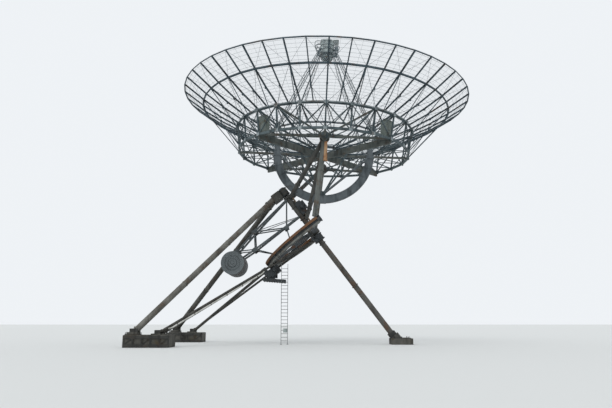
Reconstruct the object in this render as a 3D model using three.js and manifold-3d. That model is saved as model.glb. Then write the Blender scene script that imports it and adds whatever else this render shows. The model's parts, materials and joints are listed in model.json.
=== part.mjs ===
// A radio telescope dish of the 25 m class on an equatorial mount, pointing almost straight up.
// Millimetres. +Z is up, +X is south and +Y is east. The origin lies on the ground under the
// south leg, where the polar axis meets the ground.
import * as THREE from "three";
import { mergeVertices } from "three/addons/utils/BufferGeometryUtils.js";
import Module from "manifold-3d";

const wasm = await Module();
wasm.setup();

const seat = 0.3; // gap between pieces that touch
const latitude = THREE.MathUtils.degToRad(52.9); // the polar axis rises by this much to the north
const dishTilt = THREE.MathUtils.degToRad(2.3); // the dish leans this far south of straight up

// Along the polar axis, measured from the origin.
const southBearing = { from: 11150, to: 11780, radius: 450 };
const northBearing = { from: 16250, to: 16950, radius: 420 };
const pinRadius = 150;
const pinSides = 36;
const boreRadius = (pinRadius + 0.4) / Math.cos(Math.PI / pinSides);
const declination = { along: 17310, out: 5050, reach: 4900 }; // the dish's own axis, and its bearings

// The dish, measured from the declination axis in the dish's own frame.
const dishRadius = 12840;
const focalLength = 8750;
const vertexHeight = 300;
const skinThickness = 20;
const ribCount = 24;
const ribDepth = 120;
const ringRadius = { hub: 1540, inner: 5600, drum: 7890, middle: 11060 };
const drumFloor = { radius: 7680, height: -100 };
const floorGirder = { width: 160, bottom: -500, top: 60 };
const surfaceSteps = [1540, 3600, 5600, 7890, 9500, 11060, 12840];
const arc = { outer: 4600, inner: 3850, width: 300 };
const focusBox = { bottom: 9180, middle: 9400, top: 11150, narrow: 620, wide: 930 };
const cabinet = { radius: 7200, angle: 45, deep: 660, wide: 760, bottom: 60.3, top: 1480 };

// The hour wheel, the counterweight and the feet.
const hourWheel = { radius: 4800, top: 12350, depth: 480, end: 95 };
const counterweight = { out: -7270, along: 14030, radius: 1000, length: 3200 };
const northFoot = { x: -20800, y: 6800, legTop: 1050 };
const footing = { length: 3400, width: 1900, height: 900, y: 6500 };

// Where the legs and struts end on the mount's heads: along and out from the polar axis, and apart.
const northLeg = { along: 16600, out: -1080, apart: 320, radius: 235 };
const bearingStrut = { along: 11510, out: -395, apart: 112, radius: 92, footX: -19150, footY: 6450 };
const driveStrut = { along: 11950, out: -5400, apart: 250, radius: 130, footX: -18950, footY: 6000 };

const V = (x, y, z) => new THREE.Vector3(x, y, z);
const sides = [["west", -1], ["east", 1]];

// A point given by its distance along the polar axis, out from it to the south, and to the east.
const polarAxis = V(-Math.cos(latitude), 0, Math.sin(latitude));
const outward = V(Math.sin(latitude), 0, Math.cos(latitude));
const polar = (along, out = 0, east = 0) =>
  V(0, east, 0).addScaledVector(polarAxis, along).addScaledVector(outward, out);

// Solids
function toSolid(geometry) {
  const bare = geometry.index ? geometry.toNonIndexed() : geometry.clone();
  for (const name of Object.keys(bare.attributes)) if (name !== "position") bare.deleteAttribute(name);
  const merged = mergeVertices(bare, 1e-3);
  return new wasm.Manifold(new wasm.Mesh({
    numProp: 3,
    vertProperties: new Float32Array(merged.attributes.position.array),
    triVerts: new Uint32Array(merged.index.array),
  }));
}

function toGeometry(solid) {
  const mesh = solid.getMesh();
  const geometry = new THREE.BufferGeometry();
  geometry.setAttribute("position", new THREE.BufferAttribute(new Float32Array(mesh.vertProperties), 3));
  geometry.setIndex(new THREE.BufferAttribute(new Uint32Array(mesh.triVerts), 1));
  geometry.computeVertexNormals();
  return geometry;
}

const join = (solids) => solids.reduce((whole, next) => whole.add(next));
const cut = (solid, cutters) => cutters.reduce((rest, next) => rest.subtract(next), solid);

// Stands a shape that was made along +Z between two points, with its own +X near `side`.
function standBetween(geometry, from, to, side) {
  const along = to.clone().sub(from).normalize();
  const across = side ?? (Math.abs(along.z) > 0.99 ? V(1, 0, 0) : V(0, 0, 1).cross(along));
  const depthWay = along.clone().cross(across).normalize();
  const widthWay = depthWay.clone().cross(along);
  const matrix = new THREE.Matrix4().makeBasis(widthWay, depthWay, along);
  matrix.setPosition(from.clone().add(to).multiplyScalar(0.5));
  return toSolid(geometry.applyMatrix4(matrix));
}

// `grow` makes a piece larger all round, for cutting its seat into a neighbour.
function bar(from, to, width, depth = width, grow = 0, side = null) {
  const length = from.distanceTo(to) + 2 * grow;
  return standBetween(new THREE.BoxGeometry(width + 2 * grow, depth + 2 * grow, length), from, to, side);
}

function tube(from, to, radius, sideCount = 8, grow = 0) {
  const length = from.distanceTo(to) + 2 * grow;
  const round = new THREE.CylinderGeometry(radius + grow, radius + grow, length, sideCount);
  return standBetween(round.rotateX(Math.PI / 2), from, to, null);
}

function block(low, high, grow = 0) {
  const size = high.clone().sub(low).addScalar(2 * grow);
  const centre = low.clone().add(high).multiplyScalar(0.5);
  return toSolid(new THREE.BoxGeometry(size.x, size.y, size.z).translate(centre.x, centre.y, centre.z));
}

// A rectangular section carried along a line of points. Its top face holds the points.
// `aheads` turns its mitres and its ends, which are otherwise square to the line.
function girder(points, ups, width, depth, grow = 0, aheads = null) {
  const last = points.length - 1;
  const corners = [];
  points.forEach((point, i) => {
    const ahead = aheads ? aheads[i]
      : points[Math.min(i + 1, last)].clone().sub(points[Math.max(i - 1, 0)]).normalize();
    const side = ahead.clone().cross(ups[i]).normalize();
    const up = side.clone().cross(ahead).normalize();
    const end = point.clone();
    if (i === 0) end.addScaledVector(ahead, -grow);
    if (i === last) end.addScaledVector(ahead, grow);
    for (const [across, rise] of [[-1, grow], [1, grow], [1, -depth - grow], [-1, -depth - grow]]) {
      corners.push(end.clone().addScaledVector(side, across * (width / 2 + grow)).addScaledVector(up, rise));
    }
  });
  const index = [0, 2, 1, 0, 3, 2];
  for (let i = 0; i < last; i++) {
    for (let k = 0; k < 4; k++) {
      const [a, b] = [4 * i + k, 4 * i + (k + 1) % 4];
      index.push(a, b, b + 4, a, b + 4, a + 4);
    }
  }
  const e = 4 * last;
  index.push(e, e + 1, e + 2, e, e + 2, e + 3);
  const geometry = new THREE.BufferGeometry().setFromPoints(corners);
  geometry.setIndex(index);
  return toSolid(geometry);
}

// Places on the dish. Angle 0 points west, and 90 degrees points south.
const degrees = THREE.MathUtils.degToRad;
const around = (radius, angle, height) =>
  V(radius * Math.sin(degrees(angle)), -radius * Math.cos(degrees(angle)), height);
const surfaceHeight = (radius) => vertexHeight + radius * radius / (4 * focalLength);
const surfaceNormal = (radius, angle) => {
  const slope = radius / (2 * focalLength);
  return around(slope, angle + 180, 1).normalize();
};
const tangent = (angle) => around(1, angle + 90, 0);
const onSurface = (radius, angle, below = 0) =>
  around(radius, angle, surfaceHeight(radius)).addScaledVector(surfaceNormal(radius, angle), -below);
const range = (count, start = 0, step = 1) => Array.from({ length: count }, (_, i) => start + i * step);

function rib(from, to, angle, width, grow = 0) {
  const radii = [from, ...surfaceSteps.filter((r) => r > from && r < to), to];
  // An end between two steps lies on the straight facet of the mesh above it.
  const points = radii.map((r) => {
    const above = surfaceSteps.findIndex((step) => step >= r);
    const [low, high] = [surfaceSteps[Math.max(above - 1, 0)], surfaceSteps[Math.max(above, 1)]];
    const share = (r - low) / (high - low);
    return onSurface(low, angle).lerp(onSurface(high, angle), share).add(V(0, 0, -seat));
  });
  const ups = radii.map((r) => surfaceNormal(r, angle));
  return girder(points, ups, width, ribDepth - 2 * seat, grow);
}

function surfaceRing(radius, start, count, step, below, width, depth, grow = 0) {
  const angles = range(count + 1, start, step);
  const points = angles.map((a) => onSurface(radius, a, below).add(V(0, 0, -seat)));
  return girder(points, angles.map((a) => surfaceNormal(radius, a)), width, depth, grow, angles.map(tangent));
}

// The drum under the dish: two rings, posts and a zigzag, a quarter at a time.
const drumStep = 15;
const drumTop = (angle) => onSurface(ringRadius.drum, angle, ribDepth + 70);
const drumBase = (angle) => around(drumFloor.radius, angle, drumFloor.height);

function drumQuarter(quarter, grow = 0) {
  const start = 90 * quarter;
  const count = 90 / drumStep;
  const solids = [surfaceRing(ringRadius.drum, start, count, drumStep, ribDepth, 160, 140, grow)];
  const floorAngles = range(count + 1, start, drumStep);
  const floorPoints = floorAngles.map((a) => drumBase(a).add(V(0, 0, 90)));
  const level = floorAngles.map(() => V(0, 0, 1));
  solids.push(girder(floorPoints, level, 180, 180, grow, floorAngles.map(tangent)));
  for (const angle of range(count, start, drumStep)) {
    solids.push(bar(drumBase(angle), drumTop(angle), 110, 110, grow));
    const rising = (angle / drumStep) % 2 === 1;
    const [low, high] = rising ? [angle, angle + drumStep] : [angle + drumStep, angle];
    solids.push(bar(drumBase(low), drumTop(high), 80, 80, grow));
  }
  return solids;
}

function ribQuarter(quarter, grow = 0) {
  const start = 90 * quarter;
  const step = 360 / ribCount;
  const count = ribCount / 4;
  const solids = [];
  for (const angle of range(count, start, step)) {
    solids.push(rib(ringRadius.drum + seat / 2, dishRadius, angle, 90, grow));
    solids.push(bar(drumBase(angle), onSurface(ringRadius.middle, angle, 100), 70, 70, grow));
  }
  solids.push(surfaceRing(ringRadius.middle, start, count, step, 0, 90, 110, grow));
  solids.push(surfaceRing(dishRadius, start, count, step, 0, 80, 110, grow));
  return solids;
}

// The wire mesh of the dish as a thin shell, a quarter at a time.
function meshQuarter(quarter) {
  const step = 360 / ribCount;
  const angles = range(ribCount / 4 + 1, 90 * quarter, step);
  const points = [];
  for (const lift of [0, skinThickness]) {
    for (const angle of angles) {
      for (const radius of surfaceSteps) points.push(onSurface(radius, angle).add(V(0, 0, lift)));
    }
  }
  // Neighbouring quarters stand a seat apart.
  const apart = around(seat, 90 * quarter + 45, 0);
  for (const point of points) point.add(apart);
  const rows = surfaceSteps.length;
  const half = angles.length * rows;
  const at = (side, i, j) => side * half + i * rows + j;
  const index = [];
  const quad = (a, b, c, d) => index.push(a, b, c, a, c, d);
  for (let i = 0; i < angles.length - 1; i++) {
    for (let j = 0; j < rows - 1; j++) {
      quad(at(1, i, j), at(1, i, j + 1), at(1, i + 1, j + 1), at(1, i + 1, j));
      quad(at(0, i, j), at(0, i + 1, j), at(0, i + 1, j + 1), at(0, i, j + 1));
    }
    quad(at(0, i, 0), at(1, i, 0), at(1, i + 1, 0), at(0, i + 1, 0));
    quad(at(0, i + 1, rows - 1), at(1, i + 1, rows - 1), at(1, i, rows - 1), at(0, i, rows - 1));
  }
  for (let j = 0; j < rows - 1; j++) {
    quad(at(0, 0, j), at(0, 0, j + 1), at(1, 0, j + 1), at(1, 0, j));
    const i = angles.length - 1;
    quad(at(0, i, j + 1), at(0, i, j), at(1, i, j), at(1, i, j + 1));
  }
  const geometry = new THREE.BufferGeometry().setFromPoints(points);
  geometry.setIndex(index);
  return toSolid(geometry);
}

// Ribs inside the drum, with the hub ring and the ring that the feed legs stand on.
function hubFrame(grow = 0) {
  const solids = range(ribCount, 0, drumStep).map((angle) => {
    const inner = angle % 45 === 0 || angle % 30 === 0 ? ringRadius.hub : ringRadius.inner - 40;
    return rib(inner, ringRadius.drum - seat / 2, angle, angle % 45 === 0 ? 120 : 70, grow);
  });
  solids.push(surfaceRing(ringRadius.hub + 60, 0, 12, 30, 30, 120, 200, grow));
  solids.push(surfaceRing(ringRadius.inner, 0, 24, drumStep, 60, 90, 90, grow));
  return solids;
}

// Beams across the bottom of the drum: a shallow one from north to south, and two deep girders
// from corner to corner.
function floorFrame(grow = 0) {
  const { width, bottom, top } = floorGirder;
  const middle = (bottom + top) / 2;
  const girders = [45, 135].map((angle) =>
    bar(around(drumFloor.radius, angle, middle), around(drumFloor.radius, angle + 180, middle),
      top - bottom, width, grow, V(0, 0, 1)));
  const beam = bar(drumBase(90), drumBase(270), 160, 200, grow, V(0, 0, 1));
  return [...girders, beam, tube(V(0, 0, bottom), V(0, 0, 120), 420, 12, grow)];
}

// What carries the dish at one side: the trunnion, its plate and the arms to the drum.
const trunnion = { inner: 4620, plate: 5200, outer: 5420 };

function cradle(side, grow = 0) {
  const pin = tube(V(0, side * trunnion.inner, 0), V(0, side * trunnion.outer, 0), pinRadius, pinSides, grow);
  const [wide, thick] = [680 + 2 * grow, trunnion.outer - trunnion.plate + 2 * grow];
  const centre = V(0, side * (trunnion.outer + trunnion.plate) / 2, 0);
  const turned = new THREE.BoxGeometry(wide, thick, wide).rotateY(Math.PI / 4).translate(0, centre.y, 0);
  const facing = side < 0 ? 0 : 180;
  const arms = [[-45, 0], [45, 0], [-30, 1], [30, 1], [0, 0]].map(([angle, high]) => {
    const joint = high ? drumTop(facing + angle) : drumBase(facing + angle);
    const end = joint.addScaledVector(joint.clone().sub(centre).normalize(), -50);
    return bar(centre, end, high ? 120 : 180, high ? 120 : 180, grow, V(0, 0, 1));
  });
  return [pin, toSolid(turned), ...arms];
}

function declinationArc(grow = 0) {
  const middle = (arc.outer + arc.inner) / 2;
  const angles = range(25, 180, 7.5).map(degrees);
  const points = angles.map((a) => V(Math.cos(a), 0, Math.sin(a)).multiplyScalar(arc.inner));
  const ups = angles.map((a) => V(-Math.cos(a), 0, -Math.sin(a)));
  const solids = [girder(points, ups, arc.width, arc.outer - arc.inner, grow)];
  for (const way of [-1, 1]) {
    const top = surfaceHeight(middle) - 260;
    solids.push(bar(V(way * middle, 0, -40), V(way * middle, 0, top), 500, 240, grow, V(1, 0, 0)));
  }
  return solids;
}

function arcStruts(grow = 0) {
  const solids = [block(V(-300, -260, -3850), V(300, 260, -3500), grow)];
  for (const [x, y] of [[-1, -1], [1, -1], [-1, 1], [1, 1]]) {
    solids.push(bar(V(x * 120, y * 120, -3700), V(x * 2250, y * 2250, -100), 110, 110, grow));
  }
  return solids;
}

function focusCabin(grow = 0) {
  const { bottom, middle, top, narrow, wide } = focusBox;
  return [
    tube(V(0, 0, bottom), V(0, 0, middle + 50), narrow, 16, grow),
    tube(V(0, 0, middle), V(0, 0, top), wide, 16, grow),
    tube(V(0, 0, middle + 700), V(0, 0, middle + 800), wide + 60, 16, grow),
  ];
}

function feedLeg(angle, grow = 0) {
  const foot = onSurface(ringRadius.inner, angle, 60);
  return [tube(foot, around(500, angle, focusBox.middle + 500), 85, 6, grow)];
}

// A cabinet inside the west side of the drum, north or south of the middle.
function drumCabinet(way) {
  const { radius, angle, deep, wide, bottom, top } = cabinet;
  const box = new THREE.BoxGeometry(wide, deep, top - bottom).rotateZ(degrees(way * angle));
  const centre = around(radius, way * angle, (top + bottom) / 2);
  return toSolid(box.translate(centre.x, centre.y, centre.z));
}

// What turns about the polar axis. These places are (out, east, along) from that axis.
function polarShaft(grow = 0) {
  const up = (along) => V(0, 0, along);
  return [
    tube(up(hourWheel.top), up(16150), 250, 12, grow),
    tube(up(southBearing.from + 60), up(northBearing.to - 60), pinRadius, pinSides, grow),
    tube(up(southBearing.to + 90), up(hourWheel.top + 50), 500, 12, grow),
    tube(up(16000), up(16150), 360, 12, grow),
  ];
}

function hourArc(grow = 0) {
  const { radius, top, depth, end } = hourWheel;
  const angles = range(29, -end, end / 14).map(degrees);
  const at = (height) => angles.map((a) => V(-radius * Math.cos(a), radius * Math.sin(a), height));
  const ups = angles.map(() => V(0, 0, 1));
  const spokes = [-45, 0, 45].map((a) => {
    const out = V(-radius * Math.cos(degrees(a)), radius * Math.sin(degrees(a)), top - 200);
    return bar(V(0, 0, top - 200), out, 180, 260, grow, V(0, 0, 1).cross(out).normalize());
  });
  return [
    girder(at(top), ups, 300, depth, grow),
    girder(at(top + 80), ups, 520, 90, grow),
    bar(V(0, -radius, top - 230), V(0, radius, top - 230), 400, 360, grow, V(1, 0, 0)),
    ...spokes,
  ];
}

function yokeSide(side, grow = 0) {
  const { along, out, reach } = declination;
  const bearing = V(out, side * reach, along);
  const { radius, top, end } = hourWheel;
  const turn = degrees(end - 1.5);
  const post = V(-radius * Math.cos(turn), side * radius * Math.sin(turn), top + 80 + seat);
  const solids = [
    tube(V(out, side * (reach - 250), along), V(out, side * (reach + 250), along), 340, 16, grow),
    tube(post, bearing, 220, 8, grow),
    tube(V(230, side * 330, 15850), bearing, 190, 8, grow),
    tube(V(200, side * 280, 13450), bearing, 140, 8, grow),
  ];
  const through = [-400, 400].map((more) => V(out, side * (reach + more), along));
  const underPost = block(post.clone().add(V(-600, -600, -800)), post.clone().add(V(600, 600, 0)));
  return join(solids).subtract(tube(...through, boreRadius, pinSides)).subtract(underPost);
}

// The boom of the counterweight. Each place is (out, half width, along).
const boom = {
  shaftTop: [-200, 190, 15900], bend: [-4200, 650, 15220], end: [-6400, 650, 14720],
  shaftLow: [-200, 190, 14000], knee: [-1720, 360, 13860], heel: [-5050, 650, 13930],
  weight: [-7270, 650, 14030], spokeNear: [-2300, 30, 12250], spokeFar: [-3600, 30, 12250],
};

function boomFrame(grow = 0) {
  const at = (name, side) => V(boom[name][0], side * boom[name][1], boom[name][2]);
  const members = [
    ["shaftTop", "bend", 160], ["bend", "end", 160], ["end", "weight", 140], ["shaftLow", "heel", 150],
    ["heel", "weight", 150], ["bend", "heel", 100], ["bend", "knee", 100], ["shaftTop", "knee", 100],
    ["end", "heel", 90], ["knee", "spokeNear", 80], ["heel", "spokeFar", 80],
  ];
  const solids = [];
  for (const [a, b, size] of members) {
    for (const side of [-1, 1]) solids.push(bar(at(a, side), at(b, side), size, size, grow));
  }
  for (const name of ["bend", "end", "heel", "knee"]) {
    solids.push(bar(at(name, -1), at(name, 1), 100, 100, grow));
  }
  solids.push(bar(at("bend", -1), at("heel", 1), 70, 70, grow));
  return solids;
}

function counterweightDrum(grow = 0) {
  const { out, along, radius, length } = counterweight;
  const across = (from, to, r, n) => tube(V(out, from, along), V(out, to, along), r, n, grow);
  return [
    across(-length / 2, length / 2, radius - 40, 24),
    ...[-1, 1].map((side) => across(side * length / 2, side * (length / 2 - 150), radius, 24)),
    ...[-1, 1].map((side) => across(side * length / 2, side * (length / 2 + 90), 330, 16)),
  ];
}

function declinationDrive() {
  return [
    block(V(150, -330, 13950), V(620, 330, 15150)),
    block(V(600, -230, 14250), V(930, 230, 15050)),
    tube(V(430, -300, 14500), V(430, -900, 14500), 150, 12),
  ];
}

// What stands on the ground.
function housing({ from, to, radius }, extras, bored) {
  const bore = tube(polar(bored[0]), polar(bored[1]), boreRadius, pinSides);
  return join([tube(polar(from), polar(to), radius, 16), ...extras]).subtract(bore);
}

const northHead = (grow = 0) => [
  tube(polar(northBearing.from), polar(northBearing.to), northBearing.radius, 16, grow),
  bar(polar(northLeg.along, -1150), polar(northLeg.along, -330), 1300, 700, grow, V(0, 1, 0)),
];
const southHead = (grow = 0) => [
  tube(polar(southBearing.from), polar(southBearing.to), southBearing.radius, 16, grow),
];

const legFoot = (side) => V(northFoot.x, side * northFoot.y, northFoot.legTop);
const strutFoot = ({ footX, footY }, side) => V(footX, side * footY, footing.height + 50);
const headEnd = ({ along, out, apart }, side) => polar(along, out, side * apart);

function footingBlock(side, grow = 0) {
  const { length, width, height, y } = footing;
  const low = V(northFoot.x - 550, side * y - width / 2, 0);
  const pier = block(low, low.clone().add(V(length, width, height)), grow);
  const shoe = block(
    V(northFoot.x - 400, side * northFoot.y - 400, height - 10),
    V(northFoot.x + 400, side * northFoot.y + 400, northFoot.legTop + 60), grow);
  const rails = [bearingStrut, driveStrut].map(({ footX, footY }) => block(
    V(footX - 350, side * footY - 350, height - 10),
    V(footX + 350, side * footY + 350, height + 90), grow));
  return [pier, shoe, ...rails];
}

function southFooting(grow = 0) {
  const pier = block(V(-800, -900, 0), V(1000, 900, 500), grow);
  const wedge = tube(polar(200), polar(900), 480, 8, grow);
  const below = block(V(-3000, -3000, -3000), V(3000, 3000, 0));
  return join([pier, wedge]).subtract(below);
}

function hourDrive(grow = 0) {
  const { radius, top, depth } = hourWheel;
  const under = top - depth - 60;
  return [
    bar(polar(under - 350, -radius - 500), polar(under - 350, -radius + 500), 700, 700, grow, V(0, 1, 0)),
    bar(polar(under - 600, -radius - 700), polar(under + 390, -radius - 700), 700, 460, grow, V(0, 1, 0)),
    tube(polar(under - 300, -radius + 100, -300), polar(under - 300, -radius + 100, -1050), 190, 12, grow),
    bar(V(-11750, 0, 5460), V(-9750, 0, 5300), 900, 160, grow, V(0, 1, 0)),
    bar(V(-11000, 0, 5380), V(-11000, 0, 6000), 600, 500, grow, V(1, 0, 0)),
  ];
}

// The ladder stands on the ground and leans its side against the drive's platform.
function ladder() {
  const [x, y, top, half] = [-9850, -480.3, 6800, 275];
  const solids = [];
  for (const side of [-1, 1]) {
    solids.push(block(V(x + side * half - 25, y - 30, 0), V(x + side * half + 25, y + 30, top)));
  }
  for (const height of range(22, 300, 290)) {
    solids.push(block(V(x - half, y - 14, height - 14), V(x + half, y + 14, height + 14)));
  }
  return join(solids);
}

// Finishes
const finish = (color, roughness = 0.7, metalness = 0.3) =>
  new THREE.MeshStandardMaterial({ color, roughness, metalness });
const paint = {
  leg: finish(0x5d605c), rust: finish(0x7a5440, 0.85), housing: finish(0x3c4447),
  concrete: finish(0x8a867c, 0.95, 0), wheel: finish(0x474e52), yoke: finish(0x6f7a78),
  boom: finish(0x59666a), weight: finish(0x6b767c), drum: finish(0x3f5058), rib: finish(0x44565f),
  arc: finish(0x5f6b72), mesh: finish(0xaab4b6, 0.6), cabinet: finish(0x7f9188),
  feed: finish(0x50616a), ladder: finish(0x9aa19f),
};

function mesh(name, solid, material) {
  const piece = new THREE.Mesh(toGeometry(solid), material);
  piece.name = name;
  return piece;
}

const mount = new THREE.Group();
const polarFrame = new THREE.Group();
polarFrame.rotation.y = latitude - Math.PI / 2;
const dish = new THREE.Group();
dish.position.copy(polar(declination.along, declination.out));
dish.rotation.y = dishTilt;

const head = northHead(seat);
const heel = southHead(seat);
const drive = hourDrive(seat);
for (const [name, side] of sides) {
  const feet = footingBlock(side, seat);
  const leg = cut(tube(legFoot(side), headEnd(northLeg, side), northLeg.radius), [...feet, ...head]);
  mount.add(mesh(`north_leg_${name}`, leg, paint.leg));
  const long = tube(strutFoot(bearingStrut, side), headEnd(bearingStrut, side), bearingStrut.radius);
  mount.add(mesh(`bearing_strut_${name}`, cut(long, [...feet, ...heel]), paint.leg));
  const short = tube(strutFoot(driveStrut, side), headEnd(driveStrut, side), driveStrut.radius);
  mount.add(mesh(`drive_strut_${name}`, cut(short, [...feet, ...drive]), paint.leg));
  mount.add(mesh(`north_footing_${name}`, join(footingBlock(side)), paint.concrete));
}
const southLeg = tube(polar(700), polar(southBearing.from - seat), 240, 12);
mount.add(mesh("south_leg", southLeg.subtract(southFooting(seat)), paint.rust));
mount.add(mesh("south_footing", southFooting(), paint.concrete));
mount.add(mesh("north_bearing", housing(northBearing, [northHead()[1]], [16000, 17200]), paint.housing));
mount.add(mesh("south_bearing", housing(southBearing, [], [southBearing.from + 40, southBearing.to + 200]), paint.housing));
mount.add(mesh("hour_drive", join(hourDrive()), paint.housing));
mount.add(mesh("ladder", cut(ladder(), drive), paint.ladder));

const shaft = polarShaft(seat);
const wheel = hourArc(seat);
polarFrame.add(mesh("polar_shaft", join(polarShaft()), paint.housing));
polarFrame.add(mesh("hour_wheel", cut(join(hourArc()), shaft), paint.wheel));
for (const [name, side] of sides) {
  polarFrame.add(mesh(`yoke_${name}`, cut(yokeSide(side), [...shaft, ...wheel]), paint.yoke));
}
const weight = counterweightDrum(seat);
const boomSeats = [...shaft, ...wheel, ...weight];
polarFrame.add(mesh("counterweight_boom", cut(join(boomFrame()), boomSeats), paint.boom));
polarFrame.add(mesh("counterweight", join(counterweightDrum()), paint.weight));
polarFrame.add(mesh("declination_drive", cut(join(declinationDrive()), shaft), paint.housing));

const quarters = range(4);
const drumCutters = quarters.map((q) => join(drumQuarter(q, seat)));
const hubCutter = join(hubFrame(seat));
const floorCutter = join(floorFrame(seat));
const cradleCutters = sides.map(([, side]) => join(cradle(side, seat)));
const struts = join(arcStruts(seat));
const feedAngles = [45, 135, 225, 315];
const feedCutters = feedAngles.map((angle) => join(feedLeg(angle, seat)));
const ribCutters = quarters.map((q) => join(ribQuarter(q, seat)));
for (const q of quarters) {
  const next = (q + 1) % 4;
  dish.add(mesh(`drum_${q + 1}`, join(drumQuarter(q)).subtract(drumCutters[next]), paint.drum));
  const ribs = cut(join(ribQuarter(q)), [...drumCutters, ribCutters[next]]);
  dish.add(mesh(`ribs_${q + 1}`, ribs, paint.rib));
  dish.add(mesh(`wire_mesh_${q + 1}`, cut(meshQuarter(q), feedCutters), paint.mesh));
  const leg = cut(join(feedLeg(feedAngles[q])), [hubCutter, join(focusCabin(seat))]);
  dish.add(mesh(`feed_leg_${q + 1}`, leg, paint.feed));
}
dish.add(mesh("hub_frame", cut(join(hubFrame()), drumCutters), paint.drum));
dish.add(mesh("drum_floor", cut(join(floorFrame()), drumCutters), paint.drum));
for (const [name, side] of sides) {
  dish.add(mesh(`cradle_${name}`, cut(join(cradle(side)), [...drumCutters, floorCutter]), paint.drum));
}
dish.add(mesh("declination_arc", cut(join(declinationArc()), [floorCutter, struts]), paint.arc));
dish.add(mesh("arc_struts", cut(join(arcStruts()), [floorCutter]), paint.drum));
dish.add(mesh("focus_cabin", join(focusCabin()), paint.feed));
for (const [name, way] of [["north", -1], ["south", 1]]) {
  dish.add(mesh(`cabinet_${name}`, cut(drumCabinet(way), [...drumCutters, ...cradleCutters]), paint.cabinet));
}

const telescope = new THREE.Group();
telescope.add(mount, polarFrame, dish);
export default telescope;
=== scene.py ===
import json
import math

import bpy
from mathutils import Matrix, Vector


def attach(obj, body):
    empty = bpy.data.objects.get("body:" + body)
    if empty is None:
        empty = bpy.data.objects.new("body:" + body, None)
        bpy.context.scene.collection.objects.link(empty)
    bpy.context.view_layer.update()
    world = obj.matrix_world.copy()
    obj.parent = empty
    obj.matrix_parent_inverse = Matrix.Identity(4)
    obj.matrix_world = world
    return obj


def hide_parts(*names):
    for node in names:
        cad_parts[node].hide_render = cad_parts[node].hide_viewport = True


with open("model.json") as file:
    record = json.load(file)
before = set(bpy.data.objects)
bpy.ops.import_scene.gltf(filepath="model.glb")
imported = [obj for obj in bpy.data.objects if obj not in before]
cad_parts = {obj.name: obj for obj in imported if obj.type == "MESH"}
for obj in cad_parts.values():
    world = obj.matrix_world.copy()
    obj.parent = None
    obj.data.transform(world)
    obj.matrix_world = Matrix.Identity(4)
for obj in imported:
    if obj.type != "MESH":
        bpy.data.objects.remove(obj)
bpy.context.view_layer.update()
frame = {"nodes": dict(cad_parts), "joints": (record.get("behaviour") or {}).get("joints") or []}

# places shared by every piece, in metres
joints = {joint["name"]: joint for joint in frame["joints"]}
polarAxis = Vector(joints["hour_angle"]["axis"]).normalized()  # up, to the north
outward = Vector((polarAxis.z, 0, -polarAxis.x))  # away from that axis, to the south
dishTilt = math.radians(2.3)  # the dish leans this far south at rest
places = {"mount": Matrix.Identity(4),
          "polar_frame": Matrix((outward, (0, 1, 0), polarAxis)).transposed().to_4x4(),  # x out, y east, z along
          "dish": Matrix.Translation(Vector(joints["declination"]["pos_m"])) @ Matrix.Rotation(dishTilt, 4, "Y")}
eastWest = {"west": -1, "east": 1}
sharpAngle = math.radians(38)

dish = {"focal": 8.75, "vertex": 0.30, "inner": 5.6, "drum": 7.89, "middle": 11.06,
        "floorRadius": 7.68, "floorHeight": -0.1, "bays": 24, "feedLegs": (45, 135, 225, 315),
        "steps": (1.54, 3.6, 5.6, 7.89, 9.5, 11.06, 12.84)}


# meshes are built up from bars, tubes and rails
def newPiece():
    return {"verts": [], "faces": []}


def addFaces(piece, points, faces):
    start = len(piece["verts"])
    piece["verts"] += [tuple(p) for p in points]
    piece["faces"] += [tuple(start + i for i in face) for face in faces]


def crossAxes(along, up):
    side = along.cross(Vector(up))
    if side.length < 1e-3:
        side = along.cross(Vector((1, 0.01, 0)))
    side.normalize()
    return side, side.cross(along).normalized()


def addLoft(piece, rings, closed=False):  # rings of equal length, joined one to the next
    count, sides = len(rings), len(rings[0])
    points = [p for ring in rings for p in ring]
    faces = []
    for i in range(count if closed else count - 1):
        a, b = i * sides, (i + 1) % count * sides
        faces += [(a + k, a + (k + 1) % sides, b + (k + 1) % sides, b + k) for k in range(sides)]
    if not closed:
        faces += [tuple(reversed(range(sides))), tuple((count - 1) * sides + k for k in range(sides))]
    addFaces(piece, points, faces)


def section(width, depth):
    return [(-width / 2, -depth / 2), (width / 2, -depth / 2), (width / 2, depth / 2), (-width / 2, depth / 2)]


def circle(radius, sides):
    turns = [2 * math.pi * (k + 0.5) / sides for k in range(sides)]
    return [(radius * math.cos(t), radius * math.sin(t)) for t in turns]


def addPrism(piece, start, end, shape, up=(0, 0, 1)):  # a section carried straight from start to end
    start, end = Vector(start), Vector(end)
    side, rise = crossAxes((end - start).normalized(), up)
    addLoft(piece, [[p + side * x + rise * y for x, y in shape] for p in (start, end)])


def addBar(piece, start, end, width, depth=None, up=(0, 0, 1)):
    addPrism(piece, start, end, section(width, depth or width), up)


def addTube(piece, start, end, radius, sides=10):
    addPrism(piece, start, end, circle(radius, sides))


def addRail(piece, points, ups, shape, closed=False):  # a section carried along a line, up in its +y
    points = [Vector(p) for p in points]
    count = len(points)
    rings = []
    for i, p in enumerate(points):
        before = points[i - 1] if i or closed else p
        after = points[(i + 1) % count] if i < count - 1 or closed else p
        side, rise = crossAxes((after - before).normalized(), ups[i])
        rings.append([p + side * x + rise * y for x, y in shape])
    addLoft(piece, rings, closed)


def addBlock(piece, centre, size, turn=None):
    turn = turn or Matrix.Identity(3)
    centre = Vector(centre)
    x, y, z = (turn @ Vector(v) for v in ((size[0] / 2, 0, 0), (0, size[1] / 2, 0), (0, 0, size[2] / 2)))
    rings = [[centre + x * i + y * j + z * k for i, j in ((-1, -1), (1, -1), (1, 1), (-1, 1))] for k in (-1, 1)]
    addLoft(piece, rings)


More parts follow.
